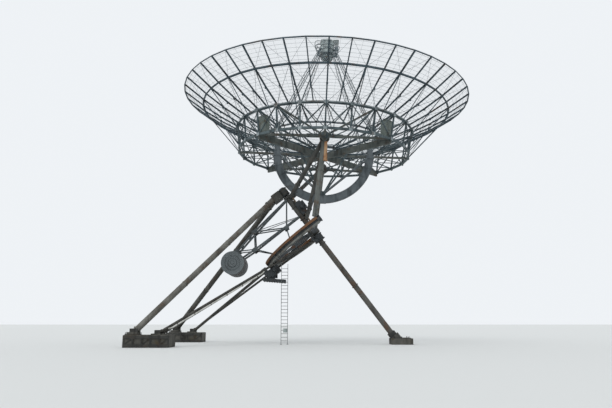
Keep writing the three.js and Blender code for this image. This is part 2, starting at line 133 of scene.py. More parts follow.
def addFlange(piece, centre, axis, radius, thick, bolts=12, boltSize=0.05, sides=24):
    centre, axis = Vector(centre), Vector(axis).normalized()
    addTube(piece, centre - axis * thick / 2, centre + axis * thick / 2, radius, sides)
    side, rise = crossAxes(axis, (0, 0, 1))
    for k in range(bolts):
        t = 2 * math.pi * k / bolts
        at = centre + (side * math.cos(t) + rise * math.sin(t)) * (radius - boltSize)
        reach = axis * (thick / 2 + boltSize * 0.5)
        addTube(piece, at - reach, at + reach, boltSize * 0.5, 6)


def placePiece(name, piece, body, finishName, replaces=()):
    mesh = bpy.data.meshes.new(name)
    mesh.from_pydata([places[body] @ Vector(v) for v in piece["verts"]], [], piece["faces"])
    mesh.materials.append(finishes[finishName])
    mesh.polygons.foreach_set("use_smooth", [True] * len(mesh.polygons))
    mesh.set_sharp_from_angle(angle=sharpAngle)
    mesh.update()
    made = bpy.data.objects.new(name, mesh)
    bpy.context.scene.collection.objects.link(made)
    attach(made, body)
    if replaces:
        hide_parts(*replaces)


# finishes: weathered paint over steel, with dirt that runs down and rust that breaks through
weather = {"patches": (0.38, 0.62), "runSize": 2.6, "runs": (0.5, 0.72), "runStretch": (1, 1, 0.22),
           "rustSize": 1.7, "rustEdge": (-0.14, 0.02), "rustRoughness": 0.92, "bump": 0.25, "bumpDepth": 0.01}


def weatheredPaint(name, base, faded, dirt, rust, rustShare, roughness, patchSize=0.9, metallic=0.0, gloss=0.3):
    finish = bpy.data.materials.new(name)
    finish.use_nodes = True
    nodes, links = finish.node_tree.nodes, finish.node_tree.links
    shader = nodes["Principled BSDF"]
    coords = nodes.new("ShaderNodeTexCoord")

    def noiseShare(size, low, high, detail=6.0, stretch=(1, 1, 1)):
        mapping = nodes.new("ShaderNodeMapping")
        mapping.inputs["Scale"].default_value = stretch
        noise = nodes.new("ShaderNodeTexNoise")
        noise.inputs["Scale"].default_value = size
        noise.inputs["Detail"].default_value = detail
        share = nodes.new("ShaderNodeMapRange")
        share.inputs["From Min"].default_value = low
        share.inputs["From Max"].default_value = high
        links.new(coords.outputs["Object"], mapping.inputs["Vector"])
        links.new(mapping.outputs["Vector"], noise.inputs["Vector"])
        links.new(noise.outputs["Fac"], share.inputs["Value"])
        return share.outputs["Result"], noise.outputs["Fac"]

    def blendColours(share, first, second):
        mix = nodes.new("ShaderNodeMix")
        mix.data_type = "RGBA"
        links.new(share, mix.inputs["Factor"])
        for socket, value in (("A", first), ("B", second)):
            if isinstance(value, tuple):
                mix.inputs[socket].default_value = (*(part / 1000 for part in value), 1)
            else:
                links.new(value, mix.inputs[socket])
        return mix.outputs["Result"]

    patches = noiseShare(patchSize, *weather["patches"])[0]
    runs = noiseShare(weather["runSize"], *weather["runs"], 5.0, weather["runStretch"])[0]
    low, high = (1 - rustShare + edge for edge in weather["rustEdge"])
    rustPatches, rustNoise = noiseShare(weather["rustSize"], low, high, 9.0)
    colour = blendColours(patches, base, faded)
    colour = blendColours(runs, colour, dirt)
    colour = blendColours(rustPatches, colour, rust)
    links.new(colour, shader.inputs["Base Color"])
    shader.inputs["Metallic"].default_value = metallic
    shader.inputs["Specular IOR Level"].default_value = gloss
    rough = nodes.new("ShaderNodeMapRange")
    rough.inputs["To Min"].default_value = roughness
    rough.inputs["To Max"].default_value = weather["rustRoughness"]
    links.new(rustPatches, rough.inputs["Value"])
    links.new(rough.outputs["Result"], shader.inputs["Roughness"])
    bump = nodes.new("ShaderNodeBump")
    bump.inputs["Strength"].default_value = weather["bump"]
    bump.inputs["Distance"].default_value = weather["bumpDepth"]
    links.new(rustNoise, bump.inputs["Height"])
    links.new(bump.outputs["Normal"], shader.inputs["Normal"])
    return finish


# colours in thousandths of paint, faded paint, dirt and rust, then the share of rust and the roughness
looks = {
    "legPaint": ((95, 93, 82), (155, 152, 134), (50, 47, 39), (90, 72, 56), 0.34, 0.62),
    # painted shade: a darker copy of the leg paint for the far leg, which stands in the shade
    "shadedLegPaint": ((48, 48, 42), (80, 79, 69), (24, 23, 20), (60, 47, 36), 0.30, 0.65),
    "rustedPaint": ((95, 90, 80), (75, 74, 68), (45, 42, 38), (98, 66, 47), 0.38, 0.70),
    "bearingPaint": ((30, 36, 40), (55, 63, 67), (16, 17, 17), (80, 48, 32), 0.26, 0.55),
    "wheelPaint": ((34, 40, 44), (62, 70, 73), (20, 21, 21), (85, 48, 32), 0.30, 0.60),
    "rustRim": ((115, 65, 40), (85, 62, 48), (35, 30, 26), (150, 75, 38), 0.45, 0.85),
    "paleRust": ((240, 190, 145), (320, 270, 215), (120, 95, 75), (220, 135, 85), 0.35, 0.80),
    "yokePaint": ((105, 115, 108), (150, 160, 148), (50, 53, 50), (100, 75, 55), 0.30, 0.60),
    "yokeDark": ((50, 52, 50), (85, 85, 78), (25, 24, 22), (75, 55, 42), 0.30, 0.65),
    "orangePost": ((420, 220, 110), (480, 300, 170), (200, 120, 70), (300, 130, 55), 0.36, 0.80),
    "boomPaint": ((60, 72, 76), (105, 122, 126), (30, 33, 34), (85, 60, 44), 0.26, 0.60),
    "weightPaint": ((112, 130, 136), (124, 142, 148), (98, 113, 118), (100, 108, 108), 0.18, 0.60),
    "drumPaint": ((50, 73, 82), (92, 122, 131), (22, 30, 34), (58, 50, 42), 0.28, 0.60),
    "girderPaint": ((78, 92, 87), (120, 132, 122), (40, 46, 44), (88, 72, 58), 0.33, 0.65),
    "ribPaint": ((34, 55, 69), (60, 89, 106), (18, 27, 33), (60, 45, 35), 0.30, 0.60),
    "arcPaint": ((100, 120, 132), (135, 156, 168), (50, 60, 66), (72, 70, 66), 0.26, 0.58),
    "cabinetPaint": ((145, 175, 158), (210, 240, 220), (70, 82, 73), (120, 80, 50), 0.30, 0.60),
    "feedPaint": ((55, 75, 85), (110, 135, 145), (30, 38, 42), (90, 65, 50), 0.28, 0.60),
    "cabinPaint": ((270, 315, 310), (420, 460, 450), (140, 165, 160), (140, 100, 75), 0.25, 0.55),
    "lidPaint": ((360, 390, 390), (500, 530, 520), (200, 220, 220), (200, 170, 140), 0.22, 0.60),
    "plateGrey": ((200, 235, 245), (300, 335, 345), (90, 110, 118), (120, 90, 70), 0.30, 0.60),
    "purlinSteel": ((220, 260, 275), (310, 345, 355), (130, 155, 165), (140, 120, 100), 0.26, 0.60),
    "ladderSteel": ((115, 125, 125), (170, 180, 178), (60, 65, 65), (110, 80, 60), 0.25, 0.50),
    "concrete": ((75, 74, 66), (115, 112, 100), (40, 40, 35), (70, 60, 42), 0.30, 0.90),
    "strutPaint": ((34, 34, 30), (62, 60, 52), (18, 17, 15), (55, 43, 33), 0.28, 0.65),
    "brightPipe": ((460, 460, 430), (560, 560, 530), (300, 300, 270), (300, 250, 200), 0.18, 0.50),
    "wheelEdge": ((125, 130, 120), (175, 180, 165), (60, 62, 58), (95, 60, 40), 0.34, 0.65),
    "footSteel": ((30, 31, 29), (50, 50, 45), (18, 17, 16), (55, 42, 32), 0.30, 0.75),
}
lookExtras = {"weightPaint": {"patchSize": 0.5}, "ladderSteel": {"metallic": 0.3}, "concrete": {"gloss": 0.1}}
finishes = {name: weatheredPaint(name, *look, **lookExtras.get(name, {})) for name, look in looks.items()}

fineMesh = {"Base Color": (0.36, 0.42, 0.45, 1), "Metallic": 0.4, "Roughness": 0.55, "Alpha": 0.06}


def plainFinish(name, values):
    finish = bpy.data.materials.new(name)
    finish.use_nodes = True
    for socket, value in values.items():
        finish.node_tree.nodes["Principled BSDF"].inputs[socket].default_value = value
    return finish


finishes["wireMesh"] = plainFinish("fineWireMesh", fineMesh)  # lets most of the light through
print("finishes ready")


# places on the dish: angle 0 points west and 90 points south
def around(radius, angle, height):
    t = math.radians(angle)
    return Vector((radius * math.sin(t), -radius * math.cos(t), height))


def surfaceNormal(radius, angle):
    return (around(-radius / (2 * dish["focal"]), angle, 1)).normalized()


def onSurface(radius, angle, below=0.0):
    height = dish["vertex"] + radius * radius / (4 * dish["focal"])
    return around(radius, angle, height) - surfaceNormal(radius, angle) * below


def onFacets(radius, angle, below=0.0):  # on the straight lines between the surface's steps
    steps = dish["steps"]
    k = next((i for i in range(1, len(steps)) if radius <= steps[i]), len(steps) - 1)
    share = (radius - steps[k - 1]) / (steps[k] - steps[k - 1])
    return onSurface(steps[k - 1], angle, below).lerp(onSurface(steps[k], angle, below), share)


def drumTop(angle):
    return onSurface(dish["drum"], angle, 0.19)


def drumBase(angle):
    return around(dish["floorRadius"], angle, dish["floorHeight"])


def spread(count, start=0.0):  # angles all the way round
    return [start + 360.0 * k / count for k in range(count)]


def evenly(start, end, count):  # values from start to end, both included
    return [start + (end - start) * k / (count - 1) for k in range(count)]


def quarters(name):
    return [f"{name}_{k}" for k in (1, 2, 3, 4)]


def mirrored(point, side):
    return Vector((point[0], side * point[1], point[2]))


def addHoop(piece, place, radius, below, shape, count):  # a ring that follows the surface
    angles = spread(count)
    ups = [surfaceNormal(radius, a) for a in angles]
    addRail(piece, [place(radius, a, below) for a in angles], ups, shape, closed=True)


# the reflector's fine mesh
skin = {"lift": 0.012, "thick": 0.006, "turns": 96}


def makeReflector():
    piece = newPiece()
    low, high = skin["lift"], skin["lift"] + skin["thick"]
    profile = [(r, low) for r in dish["steps"]] + [(r, high) for r in reversed(dish["steps"])]
    rings = [[onSurface(r, a) + Vector((0, 0, lift)) for r, lift in profile] for a in spread(skin["turns"])]
    addLoft(piece, rings, closed=True)
    placePiece("reflector_mesh", piece, "dish", "wireMesh", quarters("wire_mesh"))


purlins = {"bands": ((1.90, 7.60, 20), (8.15, 10.85, 10), (11.25, 12.65, 5)), "turns": 96, "size": 0.013,
           "below": 0.006, "wires": 48, "firstWire": 3.75, "wire": 0.009, "wireBelow": 0.01, "wireEnd": 12.75}


def makePurlins():  # light rods that the mesh is tied to, round and outward
    piece = newPiece()
    shape = section(purlins["size"], purlins["size"])
    for start, end, count in purlins["bands"]:
        for radius in evenly(start, end, count + 1):
            addHoop(piece, onFacets, radius, purlins["below"], shape, purlins["turns"])
    stops = (dish["inner"], dish["drum"], dish["middle"], purlins["wireEnd"])
    for angle in spread(purlins["wires"], purlins["firstWire"]):
        points = [onFacets(radius, angle, purlins["wireBelow"]) for radius in stops]
        for start, end in zip(points, points[1:]):
            addBar(piece, start, end, purlins["wire"])
    placePiece("reflector_purlins", piece, "dish", "purlinSteel")


ribs = {"count": 48, "mainWidth": 0.115, "betweenWidth": 0.085, "depth": 0.115, "plate": 0.014, "strut": 0.035,
        "rimRadius": 12.80, "rim": (0.075, 0.10), "rimBelow": 0.055, "ring": (0.13, 0.14), "ringBelow": 0.075}


def addRib(piece, start, end, angle, width):  # an I-beam: two flanges and a web
    radii = [start] + [r for r in dish["steps"] if start < r < end] + [end]
    ups = [surfaceNormal(r, angle) for r in radii]
    plate, depth = ribs["plate"], ribs["depth"]
    for below, wide, deep in ((plate / 2, width, plate), (depth / 2, plate, depth - 2 * plate),
                              (depth - plate / 2, width * 0.8, plate)):
        addRail(piece, [onFacets(r, angle, below) for r in radii], ups, section(wide, deep))


def makeRibCage():
    piece = newPiece()
    for k, angle in enumerate(spread(ribs["count"])):
        main = k % 2 == 0
        addRib(piece, dish["drum"], ribs["rimRadius"], angle, ribs["mainWidth" if main else "betweenWidth"])
        if main:
            addTube(piece, drumBase(angle), onSurface(dish["middle"], angle, 0.10), ribs["strut"], 8)
    addHoop(piece, onSurface, dish["middle"], ribs["ringBelow"], section(*ribs["ring"]), ribs["count"])
    addHoop(piece, onSurface, ribs["rimRadius"], ribs["rimBelow"], section(*ribs["rim"]), ribs["count"])
    placePiece("rib_cage", piece, "dish", "ribPaint", quarters("ribs"))


stays = {"lower": 0.014, "upper": 0.009, "knot": 0.085, "knotRadius": 9.5, "below": 0.14, "end": 12.79,
         "open": (45, 60, 120, 135)}  # no rods from the drum's foot where the bearing struts come by


def makeStayRods():  # thin rods that cross in each bay, and the knots where they pass the ribs
    piece = newPiece()
    middle, knots, bay = dish["middle"], stays["knotRadius"], 360 / dish["bays"]
    for angle in spread(dish["bays"]):
        for turn in (-bay, bay):
            rods = [(onSurface(dish["drum"], angle, 0.22), onSurface(middle, angle + turn, 0.16), "lower", 6),
                    (onSurface(middle, angle, 0.10), onSurface(stays["end"], angle + turn / 2, 0.10), "upper", 5)]
            if angle not in stays["open"]:
                rods.append((drumBase(angle), onSurface(knots, angle + turn / 2, stays["below"]), "lower", 6))
            for start, end, size, count in rods:
                addTube(piece, start, end, stays[size], count)
        for turn in (0, bay / 2):
            knot = onSurface(knots, angle + turn, stays["below"] - 0.02)
            up = surfaceNormal(knots, angle + turn) * 0.05
            addTube(piece, knot - up, knot + up, stays["knot"], 10)
    placePiece("stay_rods", piece, "dish", "ribPaint")


bracing = {"panel": 0.055, "floor": 0.06, "web": 0.05, "gusset": 0.30, "gussetThick": 0.02, "inside": 0.07,
           "innerFloorRadius": 5.3, "stations": (1.6, 2.9, 4.1), "trusses": 12, "fan": (0.05, 0.045),
           "cover": (0.012, 0.13), "coverOut": 0.095, "bearingAngle": 90,
           "yokeBays": (1, 10), "strutBays": (3, 4, 7, 8)}  # where these posts and struts come by at the limits


def makeDrumBracing():
    piece, plates = newPiece(), newPiece()
    step = 360 / dish["bays"]
    half = step / 2
    inner, height = bracing["innerFloorRadius"], dish["floorHeight"] + bracing["inside"]
    lift = Vector((0, 0, bracing["inside"]))
    for k, angle in enumerate(spread(dish["bays"])):
        after = angle + step
        rising = k % 2 == 1  # the heavier diagonal is in the drum already, so this one crosses it
        low, high = (after, angle) if rising else (angle, after)
        inward = around(-bracing["inside"], angle + half, 0)
        if k not in bracing["strutBays"]:
            addBar(piece, drumBase(low) + inward, drumTop(high) + inward, bracing["panel"])
        # gussets where the posts meet the rings
        reach = around(1, angle + 90, 0) * bracing["gusset"] / 2
        for point in (drumBase(angle), drumTop(angle)):
            centre = point + around(0.10, angle, 0)
            addBar(plates, centre - reach, centre + reach, bracing["gussetThick"], bracing["gusset"])
        if k in bracing["yokeBays"]:
            continue
        # the floor outside the inner ring, and the surface between the drum and the inner ring
        innerPoint = around(inner, angle + half, height)
        upperPoint = onSurface(dish["inner"], angle + half, 0.12)
        for a in (angle, after):
            if a != bracing["bearingAngle"]:  # the south bearing comes by there
                addBar(piece, drumBase(a) + lift, innerPoint, bracing["floor"])
            addBar(piece, onSurface(dish["drum"], a, 0.17), upperPoint, bracing["floor"])
        if k + 1 not in bracing["yokeBays"]:
            addBar(piece, innerPoint, around(inner, after + half, height), bracing["floor"])
        addBar(piece, innerPoint, upperPoint, bracing["web"])
        addBar(piece, innerPoint, drumTop(angle), bracing["web"])
    # radial trusses under the ribs: a bottom chord and a zigzag web
    for angle in spread(bracing["trusses"]):
        if angle % 90 == 0:
            continue
        feet = [around(radius, angle, height) for radius in (*bracing["stations"], inner)]
        tops = [onFacets(radius, angle, 0.10) for radius in (*bracing["stations"], inner)]
        addBar(piece, around(0.5, angle, height), feet[-1], bracing["floor"])
        for start, end in [*zip(feet, tops), *zip(feet, tops[1:])]:
            addBar(piece, start, end, bracing["web"])
    # light tubes that fan out from the feet of the feed legs
    wide, thin = bracing["fan"]
    for angle in dish["feedLegs"]:
        start = onSurface(dish["inner"], angle, 0.12)
        for turn in (-step, step):
            addTube(plates, start, drumBase(angle + turn), wide, 8)
            addTube(plates, start, around(inner, angle + turn / 2, height), thin, 8)
            addTube(plates, start, onSurface(dish["drum"], angle + turn, 0.20), thin, 8)
        addTube(plates, start + Vector((0, 0, 0.10)), start - Vector((0, 0, 0.10)), 0.20, 16)
    # the bright cover strip round the upper ring
    angles = spread(48)
    strip = [onSurface(dish["drum"] + bracing["coverOut"], a, 0.19) for a in angles]
    ups = [surfaceNormal(dish["drum"], a) for a in angles]
    addRail(plates, strip, ups, section(*bracing["cover"]), closed=True)
    placePiece("drum_bracing", piece, "dish", "drumPaint")
    placePiece("drum_plates", plates, "dish", "plateGrey")


feed = {"footRadius": 5.6, "topRadius": 0.95, "topHeight": 9.95, "spacing": 0.18, "chord": 0.030, "lace": 0.012,
        "bays": 16, "shoe": 0.14, "head": 0.12, "brackets": (-0.12, 0.22)}


def makeFeedLegs():
    for k, angle in enumerate(dish["feedLegs"]):
        piece = newPiece()
        foot = onSurface(feed["footRadius"], angle, -0.02)
        top = around(feed["topRadius"], angle, feed["topHeight"])
        along = (top - foot).normalized()
        side, rise = crossAxes(along, around(1, angle, 0))
        levels = evenly(0, 1, feed["bays"] + 1)
        # the three chords stand furthest apart at half height
        apart = [feed["spacing"] * (0.45 + 0.75 * abs(math.sin(math.pi * s)) ** 0.6) for s in levels]
        chords = []
        for t in (90, 210, 330):
            corner = side * math.cos(math.radians(t)) + rise * math.sin(math.radians(t))
            chords.append([foot.lerp(top, s) + corner * out for s, out in zip(levels, apart)])
        for chord in chords:
            addRail(piece, chord, [rise] * len(chord), circle(feed["chord"], 8))
        for i in range(feed["bays"]):
            for c in range(3):
                for end in (i + 1, i):
                    addTube(piece, chords[c][i], chords[(c + 1) % 3][end], feed["lace"], 5)
        addTube(piece, foot - along * 0.12, foot + along * 0.10, feed["shoe"], 12)
        # the mast is held to the cabin by a head plate and two brackets
        addTube(piece, top - along * 0.05, top + along * 0.05, feed["head"], 12)
        for height in feed["brackets"]:
            bracket = around(0.60, angle, feed["topHeight"] + height)
            addBar(piece, top + Vector((0, 0, height * 0.3)), bracket, 0.06)
        placePiece(f"feed_leg_lattice_{k + 1}", piece, "dish", "feedPaint", [f"feed_leg_{k + 1}"])


cabin = {"bottom": 9.30, "neck": 9.72, "top": 10.98, "narrow": 0.53, "wide": 0.64, "sides": 40, "seams": 20,
         "bands": (9.76, 10.17, 10.58), "frame": 0.024, "pipe": 0.032,
         # waveguides to the north and to the south: y, reach, upper and lower height
         "northPipes": ((-0.34, -1.17, 11.02, 10.28), (0.30, -1.12, 10.98, 10.36), (-0.10, -0.98, 10.84, 10.44)),
         "southPipes": ((-0.30, 1.12, 10.62, 10.10), (0.26, 1.06, 10.70, 10.02), (-0.34, 0.98, 10.00, 9.78)),
         "boxes": (((0.86, -0.16, 10.34), (0.34, 0.34, 0.40)), ((0.84, 0.30, 9.92), (0.30, 0.30, 0.34)),
                   ((-0.80, 0.30, 10.02), (0.24, 0.30, 0.36)))}


def bendPipe(piece, points, radius):  # a pipe with rounded corners through a few points
    points = [Vector(p) for p in points]
    path = [points[0]]
    for before, at, after in zip(points, points[1:], points[2:]):
        turn = min((before - at).length, (after - at).length) * 0.42
        start, end = at + (before - at).normalized() * turn, at + (after - at).normalized() * turn
        for k in range(6):
            t = k / 5
            path.append(start * (1 - t) ** 2 + at * 2 * t * (1 - t) + end * t ** 2)
    path.append(points[-1])
    addRail(piece, path, [(0.1, 1, 0.2)] * len(path), circle(radius, 8))


def makeFocusCabin():
    body, trim, lid = newPiece(), newPiece(), newPiece()
    low, neck, top = cabin["bottom"], cabin["neck"], cabin["top"]
    narrow, wide, count, frameSize, pipeSize = (cabin[k] for k in ("narrow", "wide", "sides", "frame", "pipe"))
    profile = ((0.30, top), (wide - 0.03, top), (wide, top - 0.05), (wide, neck + 0.04), (wide - 0.04, neck),
               (narrow + 0.02, neck - 0.03), (narrow, neck - 0.06), (narrow - 0.02, low + 0.05),
               (narrow - 0.07, low), (0.36, low), (0.33, low + 0.16))
    addLoft(body, [[Vector((x, y, z)) for x, y in circle(r, count)] for r, z in profile])
    for angle in spread(cabin["seams"]):
        facing = around(1, angle, 0)
        addBar(body, around(wide + 0.004, angle, neck + 0.06), around(wide + 0.004, angle, top - 0.06),
               0.04, 0.016, facing)
        addBar(trim, around(narrow + 0.004, angle, low + 0.08), around(narrow + 0.012, angle, neck - 0.09),
               0.03, 0.03, facing)
    for height in cabin["bands"]:
        addTube(trim, (0, 0, height - 0.03), (0, 0, height + 0.03), wide + 0.025, count)
    # the throat below, with its bolted rings
    addFlange(trim, (0, 0, neck - 0.07), (0, 0, 1), narrow + 0.09, 0.05, 20, 0.035, 32)
    addFlange(trim, (0, 0, low + 0.05), (0, 0, 1), narrow + 0.03, 0.05, 20, 0.03, 32)
    # a frame of pipes on the west and the east side
    for way in (-1, 1):
        y = way * (wide + 0.07)
        for x in (-0.34, 0.30):
            addTube(trim, (x, y, neck - 0.16), (x, y, top + 0.06), frameSize, 8)
            for z in (neck + 0.1, top - 0.16):
                addTube(trim, (x, y, z), (x * 0.9, way * (wide - 0.1), z), frameSize * 0.8, 6)
        for z in (neck - 0.10, 10.30, top - 0.05):
            addTube(trim, (-0.44, y, z), (0.40, y, z), frameSize, 8)
    # waveguides that bend out and back, the larger ones to the north
    for name, start, radius in (("northPipes", -0.52, pipeSize), ("southPipes", 0.52, pipeSize * 0.9)):
        for y, reach, high, deep in cabin[name]:
            bendPipe(trim, [(start, y, high), (reach, y, high), (reach, y, deep), (start, y, deep)], radius)
    bendPipe(trim, [(-0.55, -0.36, 9.86), (-1.02, -0.40, 9.86), (-1.02, -0.40, 10.30)], pipeSize)
    for centre, size in cabin["boxes"]:
        addBlock(trim, centre, size)
    # the pale lid, and the flat cover that reaches out over the south side
    addTube(lid, (0, 0, top), (0, 0, top + 0.10), wide + 0.04, count)
    addBlock(lid, (0.24, 0, top + 0.125), (1.70, 0.92, 0.05))
    addBlock(lid, (0.30, 0, top + 0.055), (1.50, 0.70, 0.09))
    for x in (-0.5, 0.2, 0.9):
        addBar(lid, (x, -0.46, top + 0.14), (x, 0.46, top + 0.14), 0.05, 0.05)
    placePiece("cabin_shell", body, "dish", "cabinPaint", ["focus_cabin"])
    placePiece("cabin_fittings", trim, "dish", "feedPaint")
    placePiece("cabin_lid", lid, "dish", "lidPaint")


arc = {"outer": 4.60, "inner": 3.85, "width": 0.30, "plate": 0.045, "stiffeners": 15, "teeth": 180, "tooth": 0.05,
       "webs": (-0.10, 0.10), "faces": (-0.125, 0.125), "struts": (-0.36, 0.36), "clamp": (-0.17, 0.17)}


def makeDeclinationArc():
    piece = newPiece()
    inner, outer, plate = arc["inner"], arc["outer"] - arc["tooth"], arc["plate"]

    def onArc(turn, radius, y=0.0):
        t = math.radians(turn)
        return Vector((radius * math.cos(t), y, radius * math.sin(t)))

    def arcRail(radius, wide, deep, y=0.0):
        points = [onArc(turn, radius, y) for turn in evenly(180, 360, 73)]
        addRail(piece, points, [-p.normalized() for p in points], section(wide, deep))

    arcRail(inner + plate / 2, arc["width"], plate)
    arcRail(outer - plate / 2, arc["width"], plate)
    for y in arc["webs"]:
        arcRail((outer + inner) / 2, 0.02, outer - inner - 2 * plate, y)
    for turn in evenly(184, 356, arc["stiffeners"]):
        for y in arc["faces"]:
            addBar(piece, onArc(turn, inner + 0.04, y), onArc(turn, outer - 0.04, y), 0.025, 0.045, (0, 1, 0))
    for turn in evenly(183, 357, arc["teeth"]):
        addBar(piece, onArc(turn, outer - 0.01, -0.09), onArc(turn, outer - 0.01, 0.09), 0.045,
               arc["tooth"] * 1.6, onArc(turn, 1))
    middle = (arc["outer"] + inner) / 2
    top = dish["vertex"] + middle ** 2 / (4 * dish["focal"]) - 0.20
    for way in (-1, 1):
        for y in arc["struts"]:  # from the foot of the arc to its ends, on both faces
            addTube(piece, (way * 0.22, y * 0.9, -3.62), (way * 3.95, y, -0.32), 0.055, 10)
        # the arc's ends climb to the ribs
        addBar(piece, (way * middle, 0, -0.05), (way * middle, 0, top), 0.24, 0.5, (1, 0, 0))
        addBar(piece, (way * (middle - 0.6), 0, 0.0), (way * middle, 0, top * 0.9), 0.12, 0.12, (0, 1, 0))
    for y in arc["clamp"]:  # round the lowest part
        addBlock(piece, (0, y, -4.20), (0.78, 0.05, 0.74))
    placePiece("declination_arc_ring", piece, "dish", "arcPaint", ["declination_arc"])


cabinet = {"radius": 7.2, "angle": 45, "face": 0.335, "middle": 0.77, "door": (0.345, 0.02, 1.30),
           "handle": (0.02, 0.03, 0.14), "slot": (0.22, 0.012, 0.02), "slots": 6, "roof": (0.84, 0.74, 0.035),
           "sidePlate": (0.012, 0.5, 1.1)}


def makeCabinetDoors():
    trim = newPiece()
    for way in (-1, 1):
        angle = way * cabinet["angle"]
        turn = Matrix.Rotation(math.radians(angle), 3, "Z")
        across, middle = around(1, angle + 90, 0), cabinet["middle"]
        face = around(cabinet["radius"] - cabinet["face"], angle, middle)  # doors face the drum's middle
        for side in (-1, 1):
            centre = face + across * side * 0.185
            addBlock(trim, centre, cabinet["door"], turn)
            addBlock(trim, centre + around(-0.02, angle, 0) + across * side * -0.13, cabinet["handle"], turn)
            for row in range(cabinet["slots"]):
                addBlock(trim, centre + around(-0.015, angle, 0.30 + 0.05 * row), cabinet["slot"], turn)
        addBlock(trim, around(cabinet["radius"], angle, 1.50), cabinet["roof"], turn)
        for side in (-1, 1):
            centre = around(cabinet["radius"], angle, middle) + across * side * 0.385
            addBlock(trim, centre, cabinet["sidePlate"], turn)
    placePiece("cabinet_doors", trim, "dish", "cabinetPaint")


trunnion = {"plateY": 5.43, "plateThick": 0.025, "plateHalfWide": 0.70, "plateHalfHigh": 0.47,
            "flange": 0.30, "cap": 0.16, "bolts": ((0.40, 0), (-0.40, 0), (0, 0.40), (0, -0.40)), "kneeY": 5.31}


def makeCradleFittings():
    trim, plate = newPiece(), newPiece()
    wide, high, knee = trunnion["plateHalfWide"], trunnion["plateHalfHigh"], trunnion["kneeY"]
    corners = ((wide, 0), (0, high), (-wide, 0), (0, -high))
    for side in (-1, 1):
        y = side * trunnion["plateY"]
        addLoft(plate, [[Vector((x, y + dy, z)) for x, z in corners] for dy in (0, trunnion["plateThick"])])
        addFlange(trim, (0, side * 5.45, 0), (0, side, 0), trunnion["flange"], 0.06, 12, 0.045)
        addTube(trim, (0, side * 5.42, 0), (0, side * 5.56, 0), trunnion["cap"], 20)
        for x, z in trunnion["bolts"]:
            addTube(trim, (x, side * 5.40, z), (x, side * 5.46, z), 0.03, 6)
        for x in (-1, 1):  # knee plates between the bearing and the arms
            addBar(trim, (x * 0.2, side * knee, 0.02), (x * 1.5, side * knee, -0.02), 0.02, 0.34)
            addBar(trim, (x * 0.12, side * knee, 0.1), (x * 1.15, side * 5.65, 0.52), 0.10)
    placePiece("cradle_fittings", trim, "dish", "drumPaint")
    placePiece("cradle_plates", plate, "dish", "girderPaint")


makeReflector()
makePurlins()
makeRibCage()
makeStayRods()
makeDrumBracing()
makeFeedLegs()
makeFocusCabin()
makeDeclinationArc()
makeCabinetDoors()
makeCradleFittings()
print("dish ready")


# the frame that turns about the polar axis: x out, y east, z along
hour = {"radius": 4.8, "top": 12.35, "depth": 0.48, "end": 95, "rim": (0.55, 0.20), "edge": (0.43, 0.15),
        "railPoints": 77, "stiffeners": 27, "teeth": 200, "toothEnd": 86, "cap": 0.25}


def onWheel(turn, height, inward=0.0):  # 0 is the lowest place of the wheel, 90 its east end
    t = math.radians(turn)
    reach = hour["radius"] - inward
    return Vector((-reach * math.cos(t), reach * math.sin(t), height))


# tubes: start, end, radius, sides; flanges: place, radius, thickness, bolts, size of a bolt
shaft = {"tubes": ((11.87, 12.40, 0.50, 32), (12.40, 16.0, 0.25, 28), (11.22, 11.87, 0.14, 24),
                   (16.15, 16.88, 0.14, 24)),
         "flanges": ((12.44, 0.46, 0.07, 20, 0.045), (16.05, 0.36, 0.18, 16, 0.04),
                     (13.65, 0.33, 0.06, 16, 0.035), (14.95, 0.33, 0.06, 16, 0.035)),
         "fins": 8, "sideTube": (0.36, 12.6, 15.95, 0.085), "ties": (12.7, 14.4, 15.9)}


def makeShaft():
    piece, twin = newPiece(), newPiece()
    for start, end, radius, count in shaft["tubes"]:
        addTube(piece, (0, 0, start), (0, 0, end), radius, count)
    for along, radius, thick, bolts, boltSize in shaft["flanges"]:
        addFlange(piece, (0, 0, along), (0, 0, 1), radius, thick, bolts, boltSize, 32)
    for angle in spread(shaft["fins"]):  # fins on the lower collar
        t = math.radians(angle)
        way = Vector((math.cos(t), math.sin(t), 0))
        addBar(piece, way * 0.38 + Vector((0, 0, 12.43)), way * 0.26 + Vector((0, 0, 12.95)), 0.02, 0.20, way)
    placePiece("polar_shaft_tube", piece, "polar_frame", "yokeDark", ["polar_shaft"])
    out, start, end, radius = shaft["sideTube"]  # the rusty tube beside the shaft
    addTube(twin, (out, 0, start), (out, 0, end), radius, 14)
    for z in shaft["ties"]:
        addBar(twin, (0.2, 0, z), (0.46, 0, z), 0.16, 0.06)
    placePiece("shaft_side_tube", twin, "polar_frame", "paleRust")


yoke = {"out": 5.05, "along": 17.31, "reach": 4.90, "postTurn": 93.5, "postRadius": 0.22,
        "backStart": (0.23, 0.33, 15.85), "backRadius": 0.19,
        "braceStart": (0.20, 0.28, 13.45), "braceRadius": 0.14,
        "flanges": (((0.23, 0.3, 15.85), 0.25), ((0.20, 0.3, 13.45), 0.19)), "housing": 0.34, "housingCap": 0.42}


